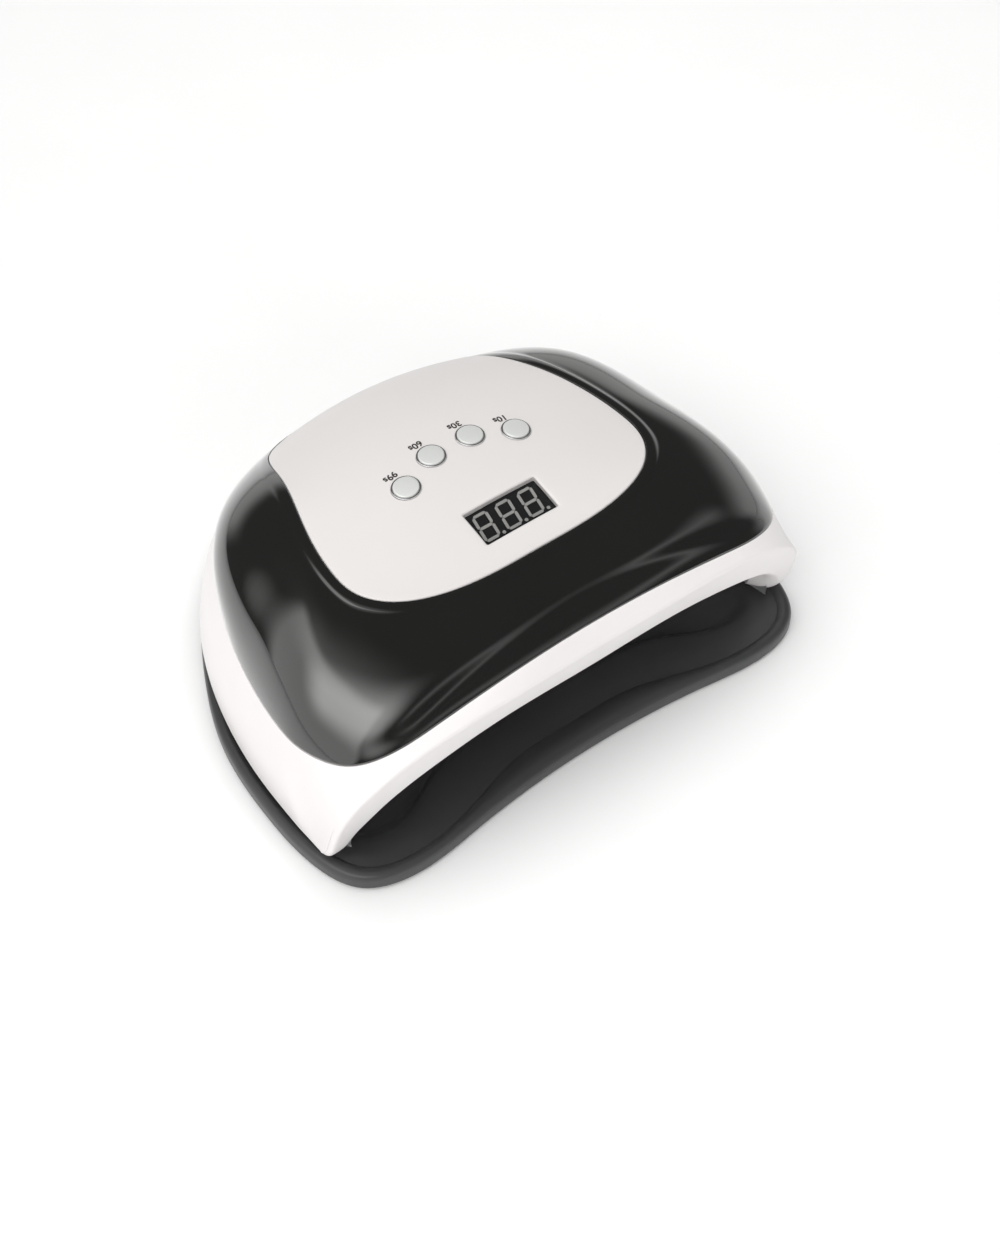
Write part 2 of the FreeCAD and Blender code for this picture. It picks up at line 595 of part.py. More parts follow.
def arch_sketch(body, name, fraction, growth):
    """The arch at one distance into the chamber, closed along its foot."""
    sketch = body.newObject("Sketcher::SketchObject", name)
    plane = [f for f in body.Origin.OriginFeatures if f.Role == "XZ_Plane"][0]
    sketch.AttachmentSupport = [(plane, "")]
    sketch.MapMode = "FlatFace"
    points = [arch_point(fraction, angle, growth) for angle in range(0, 181, 10)]
    sketch.AttachmentOffset = Placement(Vector(0, 0, -points[0].y), Rotation())
    curve = Part.BSplineCurve()
    curve.interpolate(Points=[Vector(p.x, p.z, 0) for p in points])
    sketch.addGeometry(curve, False)
    sketch.addGeometry(Part.LineSegment(Vector(points[-1].x, points[-1].z, 0),
                                        Vector(points[0].x, points[0].z, 0)), False)
    return sketch


def arch_loft(name, first, last, growth):
    body = doc.addObject("PartDesign::Body", name)
    front = arch_sketch(body, f"{name}_front", first, growth)
    rear = arch_sketch(body, f"{name}_rear", last, growth)
    loft = body.newObject("PartDesign::AdditiveLoft", f"{name}_loft")
    loft.Profile = front
    loft.Sections = [rear]
    loft.Ruled = True
    return body


liner_wall = dim("liner_wall")
liner_outside = arch_loft("liner_outside", 0.0, 1.0 + liner_wall / CHAMBER_LENGTH, liner_wall)
liner_inside = arch_loft("liner_inside", -ARCH_OVERRUN, 1.0, 0.0)


def strip_frame(fraction, angle):
    """A place on the ceiling with its outward normal and its direction towards the rear."""
    place = arch_point(fraction, angle)
    along = (arch_point(1, angle) - arch_point(0, angle)).normalize()
    across = arch_point(fraction, angle - 2) - arch_point(fraction, angle + 2)
    outward = along.cross(across).normalize()
    if outward.z < 0:
        outward = outward * -1
    return place, along, outward


led_holes, led_bodies, led_strips = [], [], []
for angle in LED_ANGLES:
    for step, fraction in enumerate(LED_FRACTIONS):
        place, along, outward = strip_frame(fraction, angle)
        led_holes.append(cylinder(f"led_hole_{angle}_{step}", "dims.led_hole_radius",
                                  "dims.led_length * 2",
                                  place - outward * dim("led_length"), outward))
        led_bodies.append(cylinder(f"led_{angle}_{step}", "dims.led_radius", "dims.led_length",
                                   place - outward * LED_PROUD, outward))
    centre, along, outward = strip_frame(STRIP_CENTRE, angle)
    tangent = outward.cross(along)
    rotation = Rotation(along, tangent, outward, "ZXY")
    strip = bind(doc.addObject("Part::Box", f"led_strip_{angle}"),
                 Width="dims.led_strip_width", Height="dims.led_strip_thickness")
    strip.Length = STRIP_LENGTH
    corner = centre - along * STRIP_LENGTH / 2 - tangent * (dim("led_strip_width") / 2)
    strip.Placement = Placement(corner + outward * STRIP_STANDOFF, rotation)
    led_strips.append(strip)
led_beads = group("led_beads", led_bodies)
led_boards = group("led_boards", led_strips)

sensor_place = arch_point(SENSOR_FRACTION, 90)
sensor_hole = cylinder("sensor_hole", "dims.sensor_hole_radius", "dims.led_length * 2",
                       sensor_place - Vector(0, 0, SENSOR_HOLE_DEPTH))
motion_sensor = cylinder("motion_sensor", "dims.sensor_radius", "dims.led_length",
                         sensor_place - Vector(0, 0, LED_PROUD))

front_clear = [Vector(p.x, p.y + dim("seam_gap"), 0) for p in mouth_inner[:legs_end + 1]]
front_curve = Part.BSplineCurve()
front_curve.interpolate(Points=[Vector(-p.x, p.y, 0) for p in reversed(front_clear[1:])]
                        + front_clear)
front_edges = [front_curve.toShape()]
right_end, far_corner = front_clear[-1], at(135, -20)
right_corners = [right_end, right_end + Vector(20, 0, 0), Vector(far_corner.x, far_corner.y, 0)]
outer_corners = right_corners + [Vector(-p.x, p.y, 0) for p in reversed(right_corners)]
front_edges += [Part.LineSegment(a, b).toShape()
                for a, b in zip(outer_corners, outer_corners[1:])]
front_trim = feature("front_trim", Part.Face(Part.Wire(Part.__sortEdges__(front_edges)))
                     .extrude(Vector(0, 0, 120)))
chamber_liner = cut("chamber_liner", liner_outside,
                    group("liner_openings", [liner_inside, front_trim, sensor_hole] + led_holes))

# ---- bottom plate ----------------------------------------------------------------------------
PLATE_GAP = 0.6
skirt_inside = [Vector(p.x, p.y, 0) for p in crease_inner]
plate_points = [sideways(p, PLATE_GAP) for p in skirt_inside[legs_end + STEPS_PER_STATION:]]
plate_curve = Part.BSplineCurve()
plate_curve.interpolate(Points=plate_points
                        + [Vector(-p.x, p.y, 0) for p in reversed(plate_points[:-1])])
plate_ends = [plate_points[0], Vector(-plate_points[0].x, plate_points[0].y, 0)]
plate_face = Part.Face(Part.Wire([plate_curve.toShape(),
                                  Part.LineSegment(plate_ends[1], plate_ends[0]).toShape()]))
plate_face.translate(Vector(0, 0, at(0, 0, CHAMBER_FLOOR).z))
plate_blank = feature("plate_blank", plate_face.extrude(Vector(0, 0, dim("plate_wall"))))
liner_room = liner_wall + dim("seam_gap")
liner_clear = arch_loft("liner_clearance", -2 * ARCH_OVERRUN, 1.0 + liner_room / CHAMBER_LENGTH,
                        liner_room)
plate_holes = [cylinder(f"plate_hole_{i}", "dims.board_hole_radius", "dims.plate_wall * 3",
                        at(x, y, CHAMBER_FLOOR - 2)) for i, (x, y) in enumerate(PLATE_SCREWS)]
bottom_plate = cut("bottom_plate", plate_blank,
                   group("plate_openings", [liner_clear] + plate_holes))
plate_screws = group("plate_screws", [
    fuse(f"plate_screw_{i}", [
        cylinder(f"plate_screw_shank_{i}", "dims.screw_radius", "dims.screw_length",
                 at(x, y, CHAMBER_FLOOR)),
        cylinder(f"plate_screw_head_{i}", "dims.screw_head_radius", "dims.plate_screw_head_height",
                 at(x, y, CHAMBER_FLOOR - dim("plate_screw_head_height")))])
    for i, (x, y) in enumerate(PLATE_SCREWS)])
shell_magnets = group("shell_magnets", [
    block(f"shell_magnet_{i}", "dims.magnet_width", "dims.magnet_length", "dims.magnet_height",
          at(x, y, CHAMBER_FLOOR + dim("plate_wall"))) for i, (x, y) in enumerate(MAGNETS)])

# ---- power inlet and leads -------------------------------------------------------------------
jack_mouth = at(*JACK_PLACE)
jack_body = block("jack_body", "dims.jack_width", "dims.jack_length", "dims.jack_height",
                  jack_mouth - Vector(0, dim("jack_length") / 2, dim("jack_height") / 2))
jack_bore = cylinder("jack_bore", "dims.jack_bore_radius", "dims.jack_bore_depth",
                     jack_mouth - Vector(0, dim("jack_bore_depth"), 0), Vector(0, 1, 0))
dc_jack = cut("dc_jack", jack_body, jack_bore)
dc_jack_pin = cylinder("dc_jack_pin", "dims.jack_pin_radius", "dims.jack_pin_length",
                       jack_mouth - Vector(0, dim("jack_bore_depth"), 0), Vector(0, 1, 0))


def lead(name, points):
    """A wire of straight runs with a round joint at each turn."""
    pieces = []
    for number, (start, end) in enumerate(zip(points, points[1:])):
        run = bind(doc.addObject("Part::Cylinder", f"{name}_run_{number}"),
                   Radius="dims.lead_radius")
        run.Height = (end - start).Length
        run.Placement = Placement(start, turned(end - start))
        pieces.append(run)
    for number, point in enumerate(points[1:-1]):
        joint = bind(doc.addObject("Part::Sphere", f"{name}_turn_{number}"),
                     Radius="dims.lead_radius")
        joint.Placement = Placement(point, Rotation())
        pieces.append(joint)
    return fuse(name, pieces)


def above_strip(angle, rise):
    """A place over the middle of one LED strip's back."""
    place, _along, outward = strip_frame(STRIP_CENTRE, angle)
    return place + outward * (STRIP_STANDOFF + dim("led_strip_thickness") + rise)


power_leads = group("power_leads", [
    lead(f"power_lead_{i}", [at(x, 178.8, 26), at(x, 171, 28), at(x, 158, 60), at(x, 128, 78),
                             at(x, 128, BOARD_UNDERSIDE)])
    for i, x in enumerate((-2.5, 2.5))])
led_leads = group("led_leads", [
    lead(f"led_lead_{i}", [at(side * 48, 100, BOARD_UNDERSIDE), at(side * 48, 100, 78),
                           above_strip(angle, 8), above_strip(angle, 0.1)])
    for i, (side, angle) in enumerate(((-1, 136), (1, 44)))])

NODES = [base_tray, rubber_feet, tray_magnets, upper_shell, side_cover, top_panel, display_window,
         display_module, digits, control_board, board_screws, board_components, tactile_switches,
         button_bezels, chamber_liner, led_beads, led_boards, motion_sensor, bottom_plate,
         plate_screws, shell_magnets, dc_jack, dc_jack_pin, power_leads, led_leads]
NODES += caps + plungers

doc.recompute()
for item in doc.Objects:
    if "Invalid" in item.State or "Error" in item.State:
        raise RuntimeError(f"{item.Name}: {item.State}")
os.makedirs("parts", exist_ok=True)
for node in NODES:
    shape = node.Shape
    if shape.isNull() or not shape.isValid() or shape.Volume <= 0:
        raise RuntimeError(f"{node.Label} has no sound shape")
    shape.exportStep(f"parts/{node.Label}.step")
    print(f"{node.Label}: {len(shape.Solids)} solids, {shape.Volume:.0f} mm3")
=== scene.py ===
"""Looks of the UV curing lamp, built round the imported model. Outlines are in millimetres, as half
outlines from the front centre line to the rear one: (x, distance behind the tray's front edge,
height above the tray's underside), or without the height where the surface gives it. Everything
handed to Blender is in metres."""
import math

import bmesh
import bpy
import numpy as np
from mathutils import Matrix, Vector
from mathutils.geometry import delaunay_2d_cdt


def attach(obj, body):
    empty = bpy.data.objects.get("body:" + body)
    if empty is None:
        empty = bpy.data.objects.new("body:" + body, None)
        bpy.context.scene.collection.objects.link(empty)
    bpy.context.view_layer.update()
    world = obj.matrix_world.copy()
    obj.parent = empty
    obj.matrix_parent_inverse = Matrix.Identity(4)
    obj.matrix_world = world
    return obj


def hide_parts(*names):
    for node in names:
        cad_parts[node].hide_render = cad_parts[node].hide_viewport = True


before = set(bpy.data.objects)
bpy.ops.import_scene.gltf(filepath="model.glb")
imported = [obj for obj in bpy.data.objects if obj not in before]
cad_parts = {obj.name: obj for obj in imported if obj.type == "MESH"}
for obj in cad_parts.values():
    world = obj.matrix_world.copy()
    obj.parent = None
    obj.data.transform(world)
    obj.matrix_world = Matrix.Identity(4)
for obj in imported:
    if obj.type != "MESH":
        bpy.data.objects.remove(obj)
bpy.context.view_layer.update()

MM = 0.001
TRAY_DEPTH = 210.0
FOOT_PROUD = 1.0
PER_STATION = 10

PANEL = [(0, 42), (26, 42.5), (49, 46.5), (61, 52.5), (67, 58.5), (70.5, 65), (72, 72), (72, 80),
         (69, 100), (59.5, 133), (49.5, 162), (0, 180)]
COVER_MIDDLE = [(0, 24, 89), (32, 24, 88.7), (62, 26.5, 87), (81, 30, 83.5), (91, 36, 82),
                (97, 43, 81.5), (100, 51, 82), (101.5, 62, 82.5), (98.5, 90, 82.5),
                (88, 134, 81), (56, 167.5, 69.5), (0, 184, 61)]
COVER_EDGE = [(0, 9.5, 79.3), (38, 9.5, 77.3), (72, 11, 70.5), (94, 14, 65), (106, 20.5, 61.5),
              (113, 32, 59.3), (116, 43, 58.6), (116.2, 55, 58), (111.6, 88, 58),
              (97.5, 129, 59), (62, 171, 59), (0, 187.5, 54)]
CREASE = [(0, 4.5, 70), (42, 4.5, 69.5), (82, 7, 63.5), (105, 9.5, 53), (116, 12.5, 40),
          (119.5, 16, 25), (120, 22.5, 10.2), (120.3, 40, 9), (119.3, 78, 9), (109.5, 125.5, 9),
          (66.5, 189, 9), (0, 206, 9)]
MOUTH = [(0, 8, 54.8), (42, 8, 54.9), (76, 9, 49), (95, 11, 40.5), (103, 13.5, 31.5),
         (108.5, 17, 21), (112, 22.5, 10)]
TRAY_EDGE = [(0, 7), (30, 6), (62, 2.6), (92, 0.2), (113, 7.5), (123, 30), (124.8, 59),
             (121, 98), (106.2, 137), (82, 174.5), (47.5, 200), (0, 210)]
TRAY_CREASE = [(0, 19), (30, 18), (58, 10), (88, 5.5), (108, 11.5), (117, 32), (119.3, 59),
               (116, 96), (101.2, 134), (78.5, 170), (45, 194.5), (0, 204.5)]
TRAY_LAND = [(0, 40), (30, 38), (62, 31), (88, 20), (104, 25), (108, 38), (108.5, 60),
             (105, 92), (92, 126), (70, 154), (38, 170), (0, 176)]
TRAY_FLOOR = [(0, 48), (28, 46), (58, 39), (84, 29), (97, 33), (101, 44), (101.5, 62),
              (98, 90), (86, 120), (65, 146), (35, 161), (0, 166)]
CROWN_LINE = [(30, 88.5), (42, 94), (61, 99.4), (80, 101.8), (100, 102.5), (125, 100.8),
              (148, 94.3), (163, 85.5), (176, 71.5), (186, 57)]
BUTTONS = {"99s": (-27.1, 93.3), "60s": (-9.6, 100.7), "30s": (9.6, 100.7), "10s": (27.1, 93.3)}
DISPLAY_PLACE = (0.0, 61.1)
DISPLAY_SIZE = (34.6, 16.0)
SKIRT_CLEARANCE = 9.0
SHELL_WALL = 2.8
COVER_WALL = 2.2
PANEL_WALL = 2.4
CORE_ENDS = (60 - TRAY_DEPTH / 2, 140 - TRAY_DEPTH / 2)
CORE_HEIGHT = 35 + FOOT_PROUD


# ---- splines ---------------------------------------------------------------------------------
def closed_spline(knots, samples):
    """Smooth closed curve through the knots: that many points per gap between knots."""
    count = len(knots)
    gaps = np.linalg.norm(np.roll(knots, -1, 0) - knots, axis=1)
    before = np.roll(gaps, 1)
    matrix = np.zeros((count, count))
    right = np.zeros_like(knots)
    for i in range(count):
        after, prior = (i + 1) % count, (i - 1) % count
        matrix[i, prior] += before[i]
        matrix[i, i] += 2 * (before[i] + gaps[i])
        matrix[i, after] += gaps[i]
        right[i] = 6 * ((knots[after] - knots[i]) / gaps[i] - (knots[i] - knots[prior]) / before[i])
    bend = np.linalg.solve(matrix, right)
    points = []
    for i in range(count):
        after, gap = (i + 1) % count, gaps[i]
        for t in np.arange(samples) / samples:
            a, b = (1 - t) * gap, t * gap
            points.append((bend[i] * a ** 3 + bend[after] * b ** 3) / (6 * gap)
                          + (knots[i] / gap - bend[i] * gap / 6) * a
                          + (knots[after] / gap - bend[after] * gap / 6) * b)
    return np.array(points)


def open_spline(xs, ys):
    """Natural cubic spline y(x) through the points."""
    xs, ys = np.array(xs, float), np.array(ys, float)
    gap = np.diff(xs)
    count = len(xs)
    matrix, right = np.eye(count), np.zeros(count)
    for i in range(1, count - 1):
        matrix[i, i - 1:i + 2] = gap[i - 1], 2 * (gap[i - 1] + gap[i]), gap[i]
        right[i] = 6 * ((ys[i + 1] - ys[i]) / gap[i] - (ys[i] - ys[i - 1]) / gap[i - 1])
    bend = np.linalg.solve(matrix, right)

    def value(x):
        i = int(np.clip(np.searchsorted(xs, x) - 1, 0, count - 2))
        a, b = xs[i + 1] - x, x - xs[i]
        return ((bend[i] * a ** 3 + bend[i + 1] * b ** 3) / (6 * gap[i])
                + (ys[i] / gap[i] - bend[i] * gap[i] / 6) * a
                + (ys[i + 1] / gap[i] - bend[i + 1] * gap[i] / 6) * b)
    return value


def ring(outline, floor=None):
    half = np.array([(x, y - TRAY_DEPTH / 2, z + FOOT_PROUD) for x, y, z in outline], float)
    other = half[1:-1][::-1] * (-1, 1, 1)
    points = closed_spline(np.vstack([half, other]), PER_STATION)
    if floor is not None:
        points[:, 2] = np.maximum(points[:, 2], floor + FOOT_PROUD)
    return points


def level(outline, height):
    return [(x, y, height) for x, y in outline]


def towards_core(points, core_height, distance):
    """Moved towards the core line that runs front to back inside the dome, by one distance or
    one for each point."""
    core = np.stack([np.zeros(len(points)), np.clip(points[:, 1], *CORE_ENDS), core_height], 1)
    way = core - points
    return points + way / np.linalg.norm(way, axis=1)[:, None] * np.reshape(distance, (-1, 1))


def inward(points, distance):
    return towards_core(points, np.full(len(points), CORE_HEIGHT), distance)


def sideways(points, distance):
    """Moved level towards the middle of the plan."""
    return towards_core(points, points[:, 2], distance)


crown = open_spline(*zip(*CROWN_LINE))


def panel_height(x, behind_front):
    rear = min(max((behind_front - 110) / 60, 0), 1)
    arching = 0.0018 * (1 - math.exp(-max(behind_front - 40, 0) / 22)) + 0.0022 * rear ** 2
    return crown(behind_front) - arching * x * x


def panel_normal(x, behind_front):
    step = 0.5
    slope_x = panel_height(x + step, behind_front) - panel_height(x - step, behind_front)
    slope_y = panel_height(x, behind_front + step) - panel_height(x, behind_front - step)
    return Vector((-slope_x, -slope_y, 2 * step)).normalized()


# ---- meshes ----------------------------------------------------------------------------------
def placed(name, data):
    thing = bpy.data.objects.new(name, data)
    bpy.context.scene.collection.objects.link(thing)
    return thing


def finish_mesh(name, vertices, faces, look, body, slot, replaces=None, sharp=40):
    mesh = bpy.data.meshes.new(name)
    mesh.from_pydata([tuple(v * MM) for v in np.asarray(vertices, float)], [], faces)
    mesh.validate()
    work = bmesh.new()
    work.from_mesh(mesh)
    bmesh.ops.remove_doubles(work, verts=work.verts, dist=1e-7)
    bmesh.ops.recalc_face_normals(work, faces=work.faces)
    work.to_mesh(mesh)
    work.free()
    piece = placed(name, mesh)
    mesh.materials.append(look)
    for polygon in mesh.polygons:
        polygon.use_smooth = True
    mesh.set_sharp_from_angle(angle=math.radians(sharp))
    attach(piece, body)
    if replaces:
        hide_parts(replaces)
    return piece


def swept_rows(knots, closed):
    """Rows of points for a cross-section given as (row of points, corner size or None)."""
    rows = []
    count = len(knots)
    for i, (row, size) in enumerate(knots):
        if size is None or (not closed and i in (0, count - 1)):
            rows.append(row)
            continue
        before, after = knots[i - 1][0] - row, knots[(i + 1) % count][0] - row
        size = np.broadcast_to(np.asarray(size, float), len(row))
        length_before = np.linalg.norm(before, axis=1)
        length_after = np.linalg.norm(after, axis=1)
        reach = np.minimum(size, 0.45 * np.minimum(length_before, length_after))[:, None]
        start = row + before / length_before[:, None] * reach
        end = row + after / length_after[:, None] * reach
        for t in np.linspace(0, 1, 7):
            rows.append((1 - t) ** 2 * start + 2 * t * (1 - t) * row + t ** 2 * end)
    return rows


def grid_faces(row_count, columns, closed):
    faces = []
    for r in range(row_count if closed else row_count - 1):
        a, b = r * columns, ((r + 1) % row_count) * columns
        faces += [(a + c, a + (c + 1) % columns, b + (c + 1) % columns, b + c)
                  for c in range(columns)]
    return faces


def closed_sweep(name, knots, *rest, **options):
    rows = swept_rows(knots, True)
    return finish_mesh(name, np.vstack(rows), grid_faces(len(rows), len(rows[0]), True),
                       *rest, **options)


def parabola(first, middle, last, share):
    """Row of points that far along the arcs from the first row to the last."""
    control = 2 * middle - (first + last) / 2
    t = np.reshape(share, (-1, 1))
    return (1 - t) ** 2 * first + 2 * t * (1 - t) * control + t * t * last


# ---- materials -------------------------------------------------------------------------------
def material(name, color, roughness, coat=0.0, metallic=0.0, grain=900.0, bump=0.03,
             spread=0.06, tone=0.06, **sockets):
    """Moulded surface: colour and gloss drift a little, with a fine bump."""
    made = bpy.data.materials.new(name)
    made.use_nodes = True
    nodes, links = made.node_tree.nodes, made.node_tree.links
    shader = nodes["Principled BSDF"]
    shader.inputs["Metallic"].default_value = metallic
    shader.inputs["Coat Weight"].default_value = coat
    for socket, value in sockets.items():
        shader.inputs[socket.replace("_", " ")].default_value = value
    place = nodes.new("ShaderNodeTexCoord")
    drift = nodes.new("ShaderNodeTexNoise")
    drift.inputs["Scale"].default_value = 14.0
    drift.inputs["Detail"].default_value = 4.0
    links.new(place.outputs["Object"], drift.inputs["Vector"])
    shade = nodes.new("ShaderNodeValToRGB")
    shade.color_ramp.elements[0].position = 0.3
    shade.color_ramp.elements[1].position = 0.7
    low = [c * (1 - tone) for c in color]
    high = [min(c * (1 + tone), 1.0) for c in color]
    shade.color_ramp.elements[0].color = (*low, 1)
    shade.color_ramp.elements[1].color = (*high, 1)
    links.new(drift.outputs["Fac"], shade.inputs["Fac"])
    links.new(shade.outputs["Color"], shader.inputs["Base Color"])
    gloss = nodes.new("ShaderNodeMapRange")
    gloss.inputs["To Min"].default_value = max(roughness - spread, 0.01)
    gloss.inputs["To Max"].default_value = roughness + spread
    links.new(drift.outputs["Fac"], gloss.inputs["Value"])
    links.new(gloss.outputs["Result"], shader.inputs["Roughness"])
    fine = nodes.new("ShaderNodeTexNoise")
    fine.inputs["Scale"].default_value = grain
    fine.inputs["Detail"].default_value = 3.0
    links.new(place.outputs["Object"], fine.inputs["Vector"])
    lift = nodes.new("ShaderNodeBump")
    lift.inputs["Strength"].default_value = bump
    lift.inputs["Distance"].default_value = 0.0002
    links.new(fine.outputs["Fac"], lift.inputs["Height"])
    links.new(lift.outputs["Normal"], shader.inputs["Normal"])
    return made


WHITE = material("satin_white", (0.83, 0.80, 0.80), 0.34, bump=0.02, tone=0.012)
BLACK = material("piano_black", (0.008, 0.008, 0.0075), 0.055, coat=1.0, grain=180.0, bump=0.012,
                 spread=0.02, tone=0.1, Coat_IOR=1.7, IOR=1.6)
PANEL_GREY = material("panel_satin", (0.69, 0.665, 0.655), 0.40, bump=0.03, tone=0.012)
CHARCOAL = material("tray_charcoal", (0.048, 0.048, 0.049), 0.36, grain=2200.0, bump=0.16,
                    spread=0.05, tone=0.08)
SILVER_CAP = material("button_silver", (0.74, 0.75, 0.73), 0.30, metallic=0.25, bump=0.02,
                      tone=0.02)
CHROME = material("bezel_chrome", (0.80, 0.80, 0.81), 0.12, metallic=1.0, spread=0.03, tone=0.03)
LINER = material("reflector_silver", (0.78, 0.79, 0.81), 0.26, metallic=0.85, grain=500.0)
LENS = material("led_lens", (0.86, 0.86, 0.80), 0.16, coat=0.5, tone=0.04)
ALUMINIUM = material("board_metal", (0.62, 0.62, 0.63), 0.38, metallic=0.9)
RUBBER = material("foot_rubber", (0.022, 0.022, 0.022), 0.75, bump=0.2)
BOARD = material("solder_mask", (0.012, 0.13, 0.045), 0.36, tone=0.15)
PART_BLACK = material("component_black", (0.02, 0.02, 0.021), 0.5)
STEEL = material("zinc_steel", (0.52, 0.52, 0.53), 0.32, metallic=1.0)
BRASS = material("contact_metal", (0.72, 0.6, 0.36), 0.25, metallic=1.0)
LEAD = material("lead_red", (0.36, 0.02, 0.02), 0.5)
SENSOR = material("sensor_filter", (0.03, 0.008, 0.012), 0.12, coat=0.5)
DIGIT = material("digit_diffuser", (0.42, 0.415, 0.40), 0.5, tone=0.05)
INK = material("legend_ink", (0.030, 0.028, 0.026), 0.6, tone=0.1)
FACE_BLACK = material("display_face", (0.012, 0.012, 0.013), 0.4)


def smoked_window():
    made = material("smoked_window", (0.02, 0.02, 0.02), 0.06, coat=0.3)
    made.node_tree.nodes["Principled BSDF"].inputs["Alpha"].default_value = 0.12
    return made


WINDOW = smoked_window()

NODE_LOOKS = {
    "rubber_feet": RUBBER, "tray_magnets": STEEL, "shell_magnets": STEEL, "plate_screws": STEEL,
    "board_screws": STEEL, "display_window": WINDOW, "display_module": FACE_BLACK,
    "display_digits": DIGIT, "control_board": BOARD, "board_components": PART_BLACK,
    "tactile_switches": PART_BLACK, "chamber_liner": LINER, "led_beads": LENS,
    "led_boards": ALUMINIUM, "motion_sensor": SENSOR, "bottom_plate": WHITE,
    "dc_jack": PART_BLACK, "dc_jack_pin": BRASS, "power_leads": LEAD, "led_leads": LEAD,
    "button_bezels": CHROME, "upper_shell": WHITE, "side_cover": BLACK, "top_panel": PANEL_GREY,
    "base_tray": CHARCOAL,
}
for name in BUTTONS:
    NODE_LOOKS[f"button_cap_{name}"] = SILVER_CAP
    NODE_LOOKS[f"switch_plunger_{name}"] = PART_BLACK
for node, look in NODE_LOOKS.items():
    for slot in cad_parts[node].material_slots:
        slot.material = look


# ---- tray ------------------------------------------------------------------------------------
EDGE_TOP, GROOVE_LEVEL, LAND_LEVEL, FLOOR_LEVEL = 4.0, 6.0, 5.6, 2.2
ROLL_LEVEL, ROLL_ROWS, ROLL_END = 6.4, 16, 0.96
ROLL_RISE, ROLL_RISE_LIMITS = 0.25, (1.9, 3.0)      # share of the roll's width, and mm
LAND_CROWN = 0.5


def make_tray():
    """Dish with a rolled edge, a groove behind it, a slightly crowned land and a lower floor."""
    centre = np.array([0.0, 100 - TRAY_DEPTH / 2, 0.0])

    def towards_centre(row, share):
        return row * (1 - share) + (centre + (0, 0, row[0][2])) * share

    edge_low, shoulder = ring(level(TRAY_EDGE, 0)), ring(level(TRAY_EDGE, EDGE_TOP))
    groove, land = ring(level(TRAY_CREASE, GROOVE_LEVEL)), ring(level(TRAY_LAND, LAND_LEVEL))
    floor = (ring(level(TRAY_FLOOR, FLOOR_LEVEL)) * 0.5
             + ring(level(TRAY_LAND, FLOOR_LEVEL)) * 0.5)
    width = np.linalg.norm((shoulder - groove)[:, :2], axis=1)
    rise = np.outer(np.clip(ROLL_RISE * width, *ROLL_RISE_LIMITS), (0, 0, 1))
    over_wall = ring(level(TRAY_EDGE, ROLL_LEVEL)) + rise
    over_groove = groove * 0.7 + ring(level(TRAY_EDGE, GROOVE_LEVEL)) * 0.3 + rise
    roll = [((1 - t) ** 3 * shoulder + 3 * t * (1 - t) ** 2 * over_wall
             + 3 * t * t * (1 - t) * over_groove + t ** 3 * groove, None)
            for t in np.linspace(0, ROLL_END, ROLL_ROWS)]
    mid_land = groove * 0.55 + land * 0.45
    mid_land[:, 2] += LAND_CROWN
    knots = [(towards_centre(edge_low, 0.5), None), (towards_centre(edge_low, 0.03), None),
             (edge_low, 0.8)] + roll + [(groove, 0.4), (mid_land, 6.0), (land, 2.5),
             (floor, 2.5), (towards_centre(floor, 0.35), None),
             (towards_centre(floor, 0.7), None)]
    rows = swept_rows(knots, False)
    columns = len(edge_low)
    vertices = np.vstack(rows + [[centre + (0, 0, rows[0][0][2])],
                                 [centre + (0, 0, rows[-1][0][2])]])
    faces = grid_faces(len(rows), columns, False)
    under, over = len(vertices) - 2, len(vertices) - 1
    last = (len(rows) - 1) * columns
    for c in range(columns):
        faces.append((under, (c + 1) % columns, c))
        faces.append((over, last + c, last + (c + 1) % columns))
    finish_mesh("tray_moulding", vertices, faces, CHARCOAL, "base", "tray_plastic", "base_tray",
                sharp=60)


# ---- side cover ------------------------------------------------------------------------------
panel_edge = ring([(x, y, panel_height(x, y)) for x, y in PANEL])
cover_middle = ring(COVER_MIDDLE)
cover_edge = ring(COVER_EDGE)

# Rounded bead round the panel: distance from the panel's edge and lift above the dome.
BEAD = [(0.5, 0.2), (1.2, 0.45), (2.1, 0.6), (3.0, 0.5), (3.8, 0.2), (4.5, -0.06), (5.3, -0.1),
        (6.3, -0.03)]
BODY_START, BODY_END, BODY_ROWS = 7.5, 0.96, 44      # mm from the panel, share of the way down
VALLEY_DEPTH, VALLEY_WIDTH, VALLEY_HEIGHT, VALLEY_FALL = 0.9, 4.2, 11, 5


